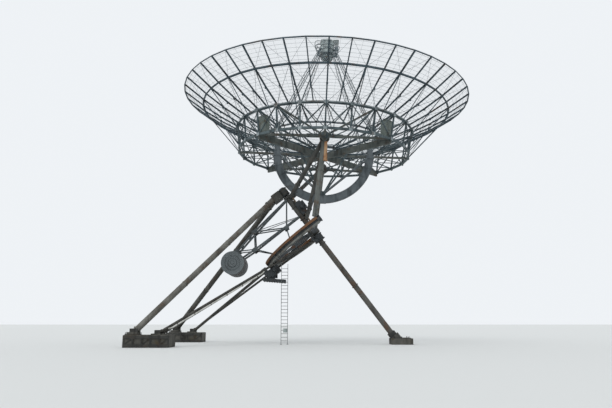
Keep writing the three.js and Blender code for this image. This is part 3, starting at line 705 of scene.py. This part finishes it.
def makeYoke():
    for name, side in eastWest.items():
        piece, dark = newPiece(), newPiece()
        end = Vector((yoke["out"], side * yoke["reach"], yoke["along"]))
        post = onWheel(side * yoke["postTurn"], hour["top"] + 0.085)
        way = (end - post).normalized()
        addTube(piece, post + way * 0.12, end, yoke["postRadius"], 24)
        addBlock(piece, post + Vector((0.06, 0, 0.02)), (0.72, 0.52, 0.045))
        for y in (-0.2, 0.2):  # cheeks on both sides of the post's foot
            addBar(piece, post + Vector((0.02, y, 0.03)), post + way * 0.75 + Vector((0, y, 0)),
                   0.02, 0.34, (0, 1, 0))
        addFlange(piece, post + way * 4.0, way, 0.30, 0.06, 12, 0.035)
        back = mirrored(yoke["backStart"], side)
        addTube(dark, back, end, yoke["backRadius"], 20)
        addTube(dark, mirrored(yoke["braceStart"], side), end, yoke["braceRadius"], 16)
        for point, radius in yoke["flanges"]:
            start = mirrored(point, side)
            way = (end - start).normalized()
            addFlange(dark, start + way * 1.5, way, radius, 0.06, 10, 0.03)
        # housing of the bearing, with its caps
        addTube(dark, end - Vector((0, 0.25, 0)), end + Vector((0, 0.25, 0)), yoke["housing"], 28)
        for y in (-0.22, 0.22):
            addFlange(dark, end + Vector((0, y, 0)), (0, 1, 0), yoke["housingCap"], 0.05, 16, 0.04, 28)
        for start in (post, back):  # webs that stiffen the joint
            way = (start - end).normalized()
            addBar(dark, end + way * 0.3, end + way * 1.2, 0.02, 0.52, (0, 1, 0))
        placePiece(f"yoke_post_{name}", piece, "polar_frame", "yokePaint", [f"yoke_{name}"])
        placePiece(f"yoke_back_{name}", dark, "polar_frame", "yokeDark")


sleeve = {"top": (4.96, -4.98, 17.06), "low": (3.87, -4.98, 15.69), "radius": 0.155}


def makeRustySleeve():  # the rusty tube that stiffens the upper part of the west post
    tube, plates = newPiece(), newPiece()
    top, low = Vector(sleeve["top"]), Vector(sleeve["low"])
    way = (top - low).normalized()
    addTube(tube, top, low, sleeve["radius"], 20)
    addFlange(tube, low, way, sleeve["radius"] + 0.05, 0.05, 8, 0.03)
    for share in (0.5, 0.0):  # plates that tie it to the post
        at = low.lerp(top, share)
        addBar(plates, at, at + Vector((-0.1, 0.05, 0.22)), 0.03, 0.30, way)
    placePiece("yoke_post_rusty_tube", tube, "polar_frame", "orangePost")
    placePiece("yoke_post_ties", plates, "polar_frame", "yokeDark")


def makeHourWheelTrim():
    rim, web, edge = newPiece(), newPiece(), newPiece()
    turns = evenly(-hour["end"], hour["end"], hour["railPoints"])
    top, bottom = hour["top"] + 0.08, hour["top"] - hour["depth"]
    for piece, height, shape in ((rim, top - 0.10, hour["rim"]), (edge, bottom + 0.075, hour["edge"])):
        addRail(piece, [onWheel(turn, height) for turn in turns], [(0, 0, 1)] * len(turns), section(*shape))
    for turn in evenly(-hour["end"], hour["end"], hour["stiffeners"]):  # between the flanges, inside and out
        for inward in (-0.17, 0.17):
            addBar(web, onWheel(turn, bottom, inward), onWheel(turn, top - 0.06, inward), 0.02, 0.08,
                   onWheel(turn, 0))
    for turn in evenly(-hour["toothEnd"], hour["toothEnd"], hour["teeth"]):
        addBar(web, onWheel(turn, bottom + 0.01, -0.08), onWheel(turn, bottom - 0.02, -0.08), 0.04, 0.12,
               onWheel(turn, 0))
    for side in (-1, 1):  # round caps at the ends of the wheel
        end = onWheel(side * hour["end"], hour["top"] - 0.20)
        face = end + Vector((0.24, 0, 0))
        addTube(web, end - Vector((0.06, 0, 0)), face, hour["cap"], 24)
        addFlange(web, face, (1, 0, 0), hour["cap"] + 0.05, 0.06, 12, 0.035)
    placePiece("hour_wheel_rusty_rim", rim, "polar_frame", "rustRim")
    placePiece("hour_wheel_web", web, "polar_frame", "wheelPaint")
    placePiece("hour_wheel_edge", edge, "polar_frame", "wheelEdge")


# end: radius and reach past half the length, from the hub over the grooves to the rim
weight = {"out": -7.27, "along": 14.03, "length": 3.2, "barrel": 0.998, "inside": 0.96,
          "bolts": 12, "boltAt": 0.78,
          "end": ((0.05, 0.09), (0.13, 0.09), (0.14, 0.05), (0.30, 0.05), (0.31, 0.075), (0.345, 0.075),
                  (0.36, -0.005), (0.54, -0.005), (0.55, 0.02), (0.585, 0.02), (0.60, -0.005), (0.93, -0.005),
                  (0.94, 0.0), (0.995, 0.0), (0.995, -0.14), (0.965, -0.15)),
          "grooves": ((0.14, 0.19, 0.051), (0.36, 0.42, -0.001), (0.62, 0.67, -0.001))}


def makeCounterweight():
    ends, barrel, grooves = newPiece(), newPiece(), newPiece()
    half = weight["length"] / 2

    def rings(points):
        return [[Vector((weight["out"] + x, y, weight["along"] + z)) for x, z in circle(r, 56)]
                for r, y in points]

    end = [(r, half + past) for r, past in weight["end"]]
    addLoft(ends, rings(end + [(end[-1][0], 0.0)] + [(r, -y) for r, y in reversed(end)]))
    inside, outside, edge = weight["inside"], weight["barrel"], half - 0.04
    addLoft(barrel, rings(((inside, -edge), (outside, -edge), (outside, edge), (inside, edge))))
    for side in (-1, 1):
        for inner, outer, past in weight["grooves"]:  # dark grooves in both ends
            near, far = side * (half + past), side * (half + past + 0.004)
            addLoft(grooves, rings(((inner, near), (outer, near), (outer, far), (inner, far))), True)
        for angle in spread(weight["bolts"], 15):
            t = math.radians(angle)
            at = Vector((weight["out"] + weight["boltAt"] * math.cos(t), side * (half - 0.01),
                         weight["along"] + weight["boltAt"] * math.sin(t)))
            addTube(ends, at, at + Vector((0, side * 0.03, 0)), 0.03, 6)
    placePiece("counterweight_ends", ends, "polar_frame", "weightPaint", ["counterweight"])
    placePiece("counterweight_barrel", barrel, "polar_frame", "wheelPaint")
    placePiece("counterweight_grooves", grooves, "polar_frame", "boomPaint")


boom = {"bend": (-4.20, 0.65, 15.22), "end": (-6.40, 0.65, 14.72), "knee": (-1.72, 0.36, 13.86),
        "heel": (-5.05, 0.65, 13.93), "shaftTop": (-0.2, 0.19, 15.9), "shaftLow": (-0.2, 0.19, 14.0),
        "brace": 0.032, "lacing": 0.028, "plate": (0.42, 0.02, 0.34), "plateOut": (0, 0.085, 0)}


def makeBoomTrim():
    piece = newPiece()
    for side in (-1, 1):
        addTube(piece, mirrored(boom["shaftLow"], side), mirrored(boom["bend"], side), boom["brace"], 8)
        for name in ("bend", "end", "heel", "knee"):
            addBlock(piece, mirrored(boom[name], side) + mirrored(boom["plateOut"], side), boom["plate"])
    for a, b in (("shaftTop", "bend"), ("bend", "end"), ("shaftLow", "heel")):
        for share, other in ((0.05, 0.5), (0.5, 0.95)):
            for side in (-1, 1):
                addTube(piece, mirrored(boom[a], side).lerp(mirrored(boom[b], side), share),
                        mirrored(boom[a], -side).lerp(mirrored(boom[b], -side), other), boom["lacing"], 8)
    placePiece("boom_lacing", piece, "polar_frame", "boomPaint")


slewDrive = {"motorOut": 0.43, "motorAlong": 14.5, "fins": 7, "finRadius": 0.165, "pinion": 0.10,
             "cheek": (0.56, 0.03, 1.3), "gearHeights": (14.1, 15.0), "gearBox": (0.26, 0.2, 0.26)}


def makeDeclinationDrive():
    piece = newPiece()
    out, along = slewDrive["motorOut"], slewDrive["motorAlong"]
    addFlange(piece, (out, -0.58, along), (0, 1, 0), 0.20, 0.05, 10, 0.03)
    addTube(piece, (out, -0.90, along), (out, -1.02, along), 0.11, 16)
    for k in range(slewDrive["fins"]):
        y = -0.62 - 0.04 * k
        addTube(piece, (out, y, along), (out, y - 0.015, along), slewDrive["finRadius"], 20)
    addTube(piece, (0.78, -0.36, 14.65), (0.78, 0.36, 14.65), slewDrive["pinion"], 16)
    for y in (-0.34, 0.34):
        addBlock(piece, (0.42, y, 14.55), slewDrive["cheek"])
    for z in slewDrive["gearHeights"]:
        addTube(piece, (0.3, 0.33, z), (0.3, 0.62, z), 0.08, 12)
        addBlock(piece, (0.3, 0.7, z), slewDrive["gearBox"])
    addBar(piece, (0.22, 0.62, 13.6), (0.22, 0.62, 15.6), 0.04, 0.25, (1, 0, 0))
    placePiece("declination_drive_fittings", piece, "polar_frame", "bearingPaint")


makeShaft()
makeYoke()
makeRustySleeve()
makeHourWheelTrim()
makeCounterweight()
makeBoomTrim()
makeDeclinationDrive()
print("polar frame ready")


# what stands on the ground
def onAxis(along, out=0.0, side=0.0):
    return polarAxis * along + outward * out + Vector((0, side, 0))


# foot: x, y, height; head: along the polar axis, out from it and to its side; flanges: share of length, wider by
northLeg = {"foot": (-20.8, 6.8, 1.05), "head": (16.6, -1.08, 0.32), "radius": 0.235,
            "flanges": ((0.0, 0.06), (0.33, 0.022), (0.66, 0.022), (1.0, 0.06))}
southLeg = {"start": 0.75, "end": 11.14, "radius": 0.24, "flanges": (1.15, 6.2, 10.85), "flangeRadius": 0.31}
struts = {"bearing": {"foot": (-19.15, 6.45, 0.95), "head": (11.51, -0.395, 0.112), "radius": 0.098},
          "drive": {"foot": (-18.95, 6.0, 0.95), "head": (11.95, -5.4, 0.25), "radius": 0.132}}
pad = {"x": -19.65, "y": 6.5, "length": 3.4, "width": 1.9, "beams": (0.14, 0.74), "posts": 6, "postTop": 0.87}


def footAndHead(member, side):
    along, out, apart = member["head"]
    return mirrored(member["foot"], side), onAxis(along, out, side * apart)


def makeLegs():
    for name, side in eastWest.items():
        leg, thin = newPiece(), newPiece()
        start, end = footAndHead(northLeg, side)
        way = (end - start).normalized()
        stop = end - way * 0.5
        addTube(leg, start, stop, northLeg["radius"], 28)
        length = (stop - start).length
        for share, wider in northLeg["flanges"]:
            at = start + way * (0.35 + (length - 0.7) * share)
            addFlange(leg, at, way, northLeg["radius"] + wider, 0.06, 16, 0.02, 28)
        paint = "legPaint" if name == "west" else "shadedLegPaint"  # the far leg gets painted shade: a darker copy of the leg paint
        placePiece(f"north_leg_tube_{name}", leg, "mount", paint, [f"north_leg_{name}"])
        for strut in struts.values():
            low, target = footAndHead(strut, side)
            way, radius = (target - low).normalized(), strut["radius"]
            addTube(thin, low + way * 0.1, target - way * 0.42, radius, 20)
            addFlange(thin, low + way * 0.45, way, radius + 0.05, 0.05, 8, 0.03, 20)
        placePiece(f"struts_{name}", thin, "mount", "strutPaint",
                   [f"bearing_strut_{name}", f"drive_strut_{name}"])
    south = newPiece()
    addTube(south, onAxis(southLeg["start"]), onAxis(southLeg["end"]), southLeg["radius"], 32)
    for along in southLeg["flanges"]:
        addFlange(south, onAxis(along), polarAxis, southLeg["flangeRadius"], 0.06, 16, 0.035, 32)
    placePiece("south_leg_tube", south, "mount", "rustedPaint", ["south_leg"])


pipe = {"radius": 0.062, "reach": 0.18, "start": 0.06, "stop": 0.64, "clips": 6}


def makeStrutPipe():  # thin and bright, under the west bearing strut, until the dish and the wheel come near
    tube, clips = newPiece(), newPiece()
    low, target = footAndHead(struts["bearing"], eastWest["west"])
    way = (target - low).normalized()
    beneath = Vector((0, -0.35, -1))
    beneath = (beneath - way * beneath.dot(way)).normalized()
    start, end = low.lerp(target, pipe["start"]), low.lerp(target, pipe["stop"])
    off, bend = beneath * pipe["reach"], way * 0.25
    bendPipe(tube, [start + off * 0.5, start + bend + off, end - bend + off, end + off * 0.5], pipe["radius"])
    for k in range(pipe["clips"]):
        at = start.lerp(end, (k + 0.5) / pipe["clips"])
        addBar(clips, at, at + beneath * (pipe["reach"] + pipe["radius"] + 0.01), 0.05, 0.16, beneath.cross(way))
    placePiece("strut_pipe", tube, "mount", "brightPipe")
    placePiece("strut_pipe_clips", clips, "mount", "strutPaint")


# flanges: along the axis, radius, thickness, bolts, size of a bolt, sides
bearings = {"flanges": ((16.30, 0.45, 0.07, 18, 0.045, 32), (16.9, 0.45, 0.07, 18, 0.045, 32),
                        (16.6, 0.435, 0.07, 18, 0.045, 32), (16.98, 0.33, 0.05, 12, 0.035, 24),
                        (11.20, 0.51, 0.06, 18, 0.04, 32), (11.73, 0.51, 0.06, 18, 0.04, 32)),
            "cap": (16.95, 17.06, 0.24), "block": (0.30, 0.5, 0.30), "socket": 0.80}


def makeBearingFittings():
    piece, sockets = newPiece(), newPiece()
    for along, radius, thick, bolts, boltSize, count in bearings["flanges"]:
        addFlange(piece, onAxis(along), polarAxis, radius, thick, bolts, boltSize, count)
    start, end, radius = bearings["cap"]
    addTube(piece, onAxis(start), onAxis(end), radius, 24)
    addBlock(piece, onAxis(16.50, -1.28), bearings["block"])
    for side in (-1, 1):
        start, end = footAndHead(northLeg, side)
        way = (end - start).normalized()
        low = end - way * bearings["socket"]  # the legs' sockets
        addTube(sockets, low, end + way * 0.10, northLeg["radius"] + 0.03, 24)
        addFlange(sockets, low, way, northLeg["radius"] + 0.07, 0.05, 14, 0.03)
        # lugs and grease pots, away from the dish
        addBar(piece, onAxis(11.25, -0.2, side * 0.38), onAxis(11.6, -0.50, side * 0.38), 0.22, 0.2)
        addTube(piece, onAxis(11.66, -0.3, side * 0.30), onAxis(11.66, -0.66, side * 0.30), 0.08, 16)
    placePiece("bearing_fittings", piece, "mount", "bearingPaint")
    placePiece("leg_sockets", sockets, "mount", "legPaint")


def makeFeet():
    steel = newPiece()
    left, right = pad["x"] - pad["length"] / 2, pad["x"] + pad["length"] / 2
    posts = evenly(left + 0.05, right - 0.05, pad["posts"])
    legX = northLeg["foot"][0]
    for side in (-1, 1):  # a frame of beams round the pad, with base plates and anchor bolts
        for dy in (-0.04 - pad["width"] / 2, 0.04 + pad["width"] / 2):
            y = side * pad["y"] + dy
            for z in pad["beams"]:
                addBar(steel, (left, y, z), (right, y, z), 0.08, 0.2)
            for x in posts:
                addBar(steel, (x, y, 0.0), (x, y, pad["postTop"]), 0.10, 0.10, (1, 0, 0))
            for x in posts[::2]:
                addBar(steel, (x, y, 0.2), (x + 0.66, y, 0.7), 0.06)
        legY = side * northLeg["foot"][1]
        addBlock(steel, (legX, legY, 0.93), (1.0, 1.0, 0.06))
        for x in (legX - 0.45, legX + 0.45):
            for y in (legY - 0.45, legY + 0.45):
                addTube(steel, (x, y, 0.93), (x, y, 1.08), 0.03, 6)
        for dy in (-0.34, 0.34):  # cheeks that hold the leg's pin
            addBlock(steel, (legX + 0.12, legY + dy, 1.14), (0.62, 0.05, 0.46))
        for strut in struts.values():
            x, y = strut["foot"][:2]
            addBlock(steel, (x, side * y, 0.965), (0.68, 0.68, 0.06))
            for dy in (-0.18, 0.18):
                addBlock(steel, (x + 0.08, side * y + dy, 1.10), (0.42, 0.03, 0.30))
    # the shoe of the south leg
    for dy in (-0.34, 0.34):
        addBar(steel, onAxis(0.30, 0.0, dy), onAxis(1.25, 0.0, dy), 0.05, 0.62, outward)
    addBlock(steel, (0.1, 0, 0.52), (1.5, 1.3, 0.06))
    for x in (-0.5, 0.1, 0.7):
        for dy in (-0.55, 0.55):
            addTube(steel, (x, dy, 0.52), (x, dy, 0.66), 0.035, 6)
    addTube(steel, onAxis(0.95, 0, -0.42), onAxis(0.95, 0, 0.42), 0.10, 16)
    placePiece("foot_steelwork", steel, "mount", "footSteel")


hourDrive = {"gap": 0.06, "plates": 0.38, "plateHalf": 0.45, "fins": 9, "firstFin": -0.42, "finStep": 0.065,
             "finRadius": 0.215, "gearBox": (0.5, 0.4, 0.6),
             "platformLow": (-11.75, 0, 5.46), "platformHigh": (-9.75, 0, 5.30), "platformHalf": 0.45, "bars": 9}


def makeHourDrive():
    piece = newPiece()
    under = hour["top"] - hour["depth"] - hourDrive["gap"]

    def below(down, out, side):  # a place under the lowest part of the wheel's rim
        return onAxis(under - down, out - hour["radius"], side)

    half = hourDrive["plateHalf"]
    for side in (-1, 1):
        y = side * hourDrive["plates"]
        addBar(piece, below(0.35, -half, y), below(0.35, half, y), 0.05, 0.68, polarAxis)
        addFlange(piece, below(0.35, 0.1, side * 0.40), (0, 1, 0), 0.26, 0.06, 10, 0.035)
    for k in range(hourDrive["fins"]):  # cooling fins of the motor
        y = hourDrive["firstFin"] - hourDrive["finStep"] * k
        addTube(piece, below(0.30, 0.1, y), below(0.30, 0.1, y - 0.02), hourDrive["finRadius"], 20)
    addTube(piece, below(0.30, 0.1, -1.05), below(0.30, 0.1, -1.16), 0.16, 18)
    addTube(piece, below(0.18, 0, 0.45), below(0.18, 0, 0.85), 0.15, 18)
    addBlock(piece, below(0.55, -0.2, 0.62), hourDrive["gearBox"])
    # the platform under it: edge plates and cross bars
    low, high = Vector(hourDrive["platformLow"]), Vector(hourDrive["platformHigh"])
    half, bars = hourDrive["platformHalf"], hourDrive["bars"]
    for side in (-1, 1):
        edge = Vector((0, side * half, 0.02))
        addBar(piece, low + edge, high + edge, 0.04, 0.26)
    for k in range(bars):
        at = low.lerp(high, (k + 0.5) / bars)
        addBar(piece, at + Vector((0, -half, -0.11)), at + Vector((0, half, -0.11)), 0.05, 0.08)
    placePiece("hour_drive_fittings", piece, "mount", "bearingPaint")


ladder = {"x": -9.85, "y": -0.48, "top": 6.8, "half": 0.275, "rail": (0.07, 0.04), "rung": 0.021, "rungs": 22,
          "first": 0.30, "step": 0.29, "plate": (0.34, 0.012, 0.34)}


def makeLadder():
    piece, plate = newPiece(), newPiece()
    x, y, half = ladder["x"], ladder["y"], ladder["half"]
    for side in (-half, half):
        addBar(piece, (x + side, y, 0.0), (x + side, y, ladder["top"]), *ladder["rail"], (1, 0, 0))
        addBlock(piece, (x + side, y, 0.02), (0.14, 0.2, 0.04))
    for k in range(ladder["rungs"]):
        z = ladder["first"] + ladder["step"] * k
        addTube(piece, (x - half, y, z), (x + half, y, z), ladder["rung"], 8)
    placePiece("ladder_rungs", piece, "mount", "ladderSteel", ["ladder"])
    addBlock(plate, (x + 0.08, y - 0.04, 1.15), ladder["plate"])
    placePiece("ladder_plate", plate, "mount", "cabinPaint")


makeLegs()
makeStrutPipe()
makeBearingFittings()
makeFeet()
makeHourDrive()
makeLadder()
print("mount ready")


# the solids that stay get the same finishes
# the north bearing takes the leg paint with painted shade
nodeFinishes = {"shadedLegPaint": ["north_bearing"],
                "bearingPaint": ["south_bearing", "hour_drive", "declination_drive"],
                "concrete": ["north_footing_west", "north_footing_east", "south_footing"],
                "wheelPaint": ["hour_wheel"], "boomPaint": ["counterweight_boom"],
                "drumPaint": [*quarters("drum"), "arc_struts"], "ribPaint": ["hub_frame"],
                "girderPaint": ["drum_floor", "cradle_west", "cradle_east"],
                "cabinetPaint": ["cabinet_north", "cabinet_south"]}
for finishName, nodeNames in nodeFinishes.items():
    for nodeName in nodeNames:
        for slot in frame["nodes"][nodeName].material_slots:
            slot.material = finishes[finishName]


# a pale floor, soft light and the camera
studio = {"reach": 1500, "floor": {"Base Color": (0.62, 0.63, 0.62, 1), "Roughness": 0.95},
          "sky": {"Color": (0.86, 0.89, 0.92, 1), "Strength": 1.0},
          "sun": 1.1, "sunAngle": 50, "sunTurn": (38, -18, 0)}


def makeStudio():
    mesh = bpy.data.meshes.new("studio_floor")
    corners = [(x * studio["reach"], y * studio["reach"], -0.01) for x, y in ((-1, -1), (1, -1), (1, 1), (-1, 1))]
    mesh.from_pydata(corners, [], [(0, 1, 2, 3)])
    floor = bpy.data.objects.new("studio_floor", mesh)
    bpy.context.scene.collection.objects.link(floor)
    mesh.materials.append(plainFinish("paleFloor", studio["floor"]))
    world = bpy.data.worlds.new("overcast")
    world.use_nodes = True
    for socket, value in studio["sky"].items():
        world.node_tree.nodes["Background"].inputs[socket].default_value = value
    bpy.context.scene.world = world
    sun = bpy.data.lights.new("softSun", "SUN")
    sun.energy = studio["sun"]
    sun.angle = math.radians(studio["sunAngle"])
    sunObject = bpy.data.objects.new("softSun", sun)
    sunObject.rotation_euler = [math.radians(turn) for turn in studio["sunTurn"]]
    bpy.context.scene.collection.objects.link(sunObject)
    bpy.context.scene.view_settings.view_transform = "Standard"


camera = {"focalPixels": 581.0, "imageWidth": 612, "sensor": 36, "place": (-7.49, -51.0, 1.7), "pitch": 11.66,
          "turn": 0.58, "farthest": 4000}


def makeCamera():
    lens = bpy.data.cameras.new("photoCamera")
    lens.sensor_width = camera["sensor"]
    lens.lens = camera["focalPixels"] / camera["imageWidth"] * lens.sensor_width
    lens.clip_end = camera["farthest"]
    made = bpy.data.objects.new("photoCamera", lens)
    made.location = camera["place"]
    made.rotation_euler = (math.radians(90 + camera["pitch"]), 0, math.radians(camera["turn"]))
    bpy.context.scene.collection.objects.link(made)
    bpy.context.scene.camera = made


makeStudio()
makeCamera()
print("studio ready")
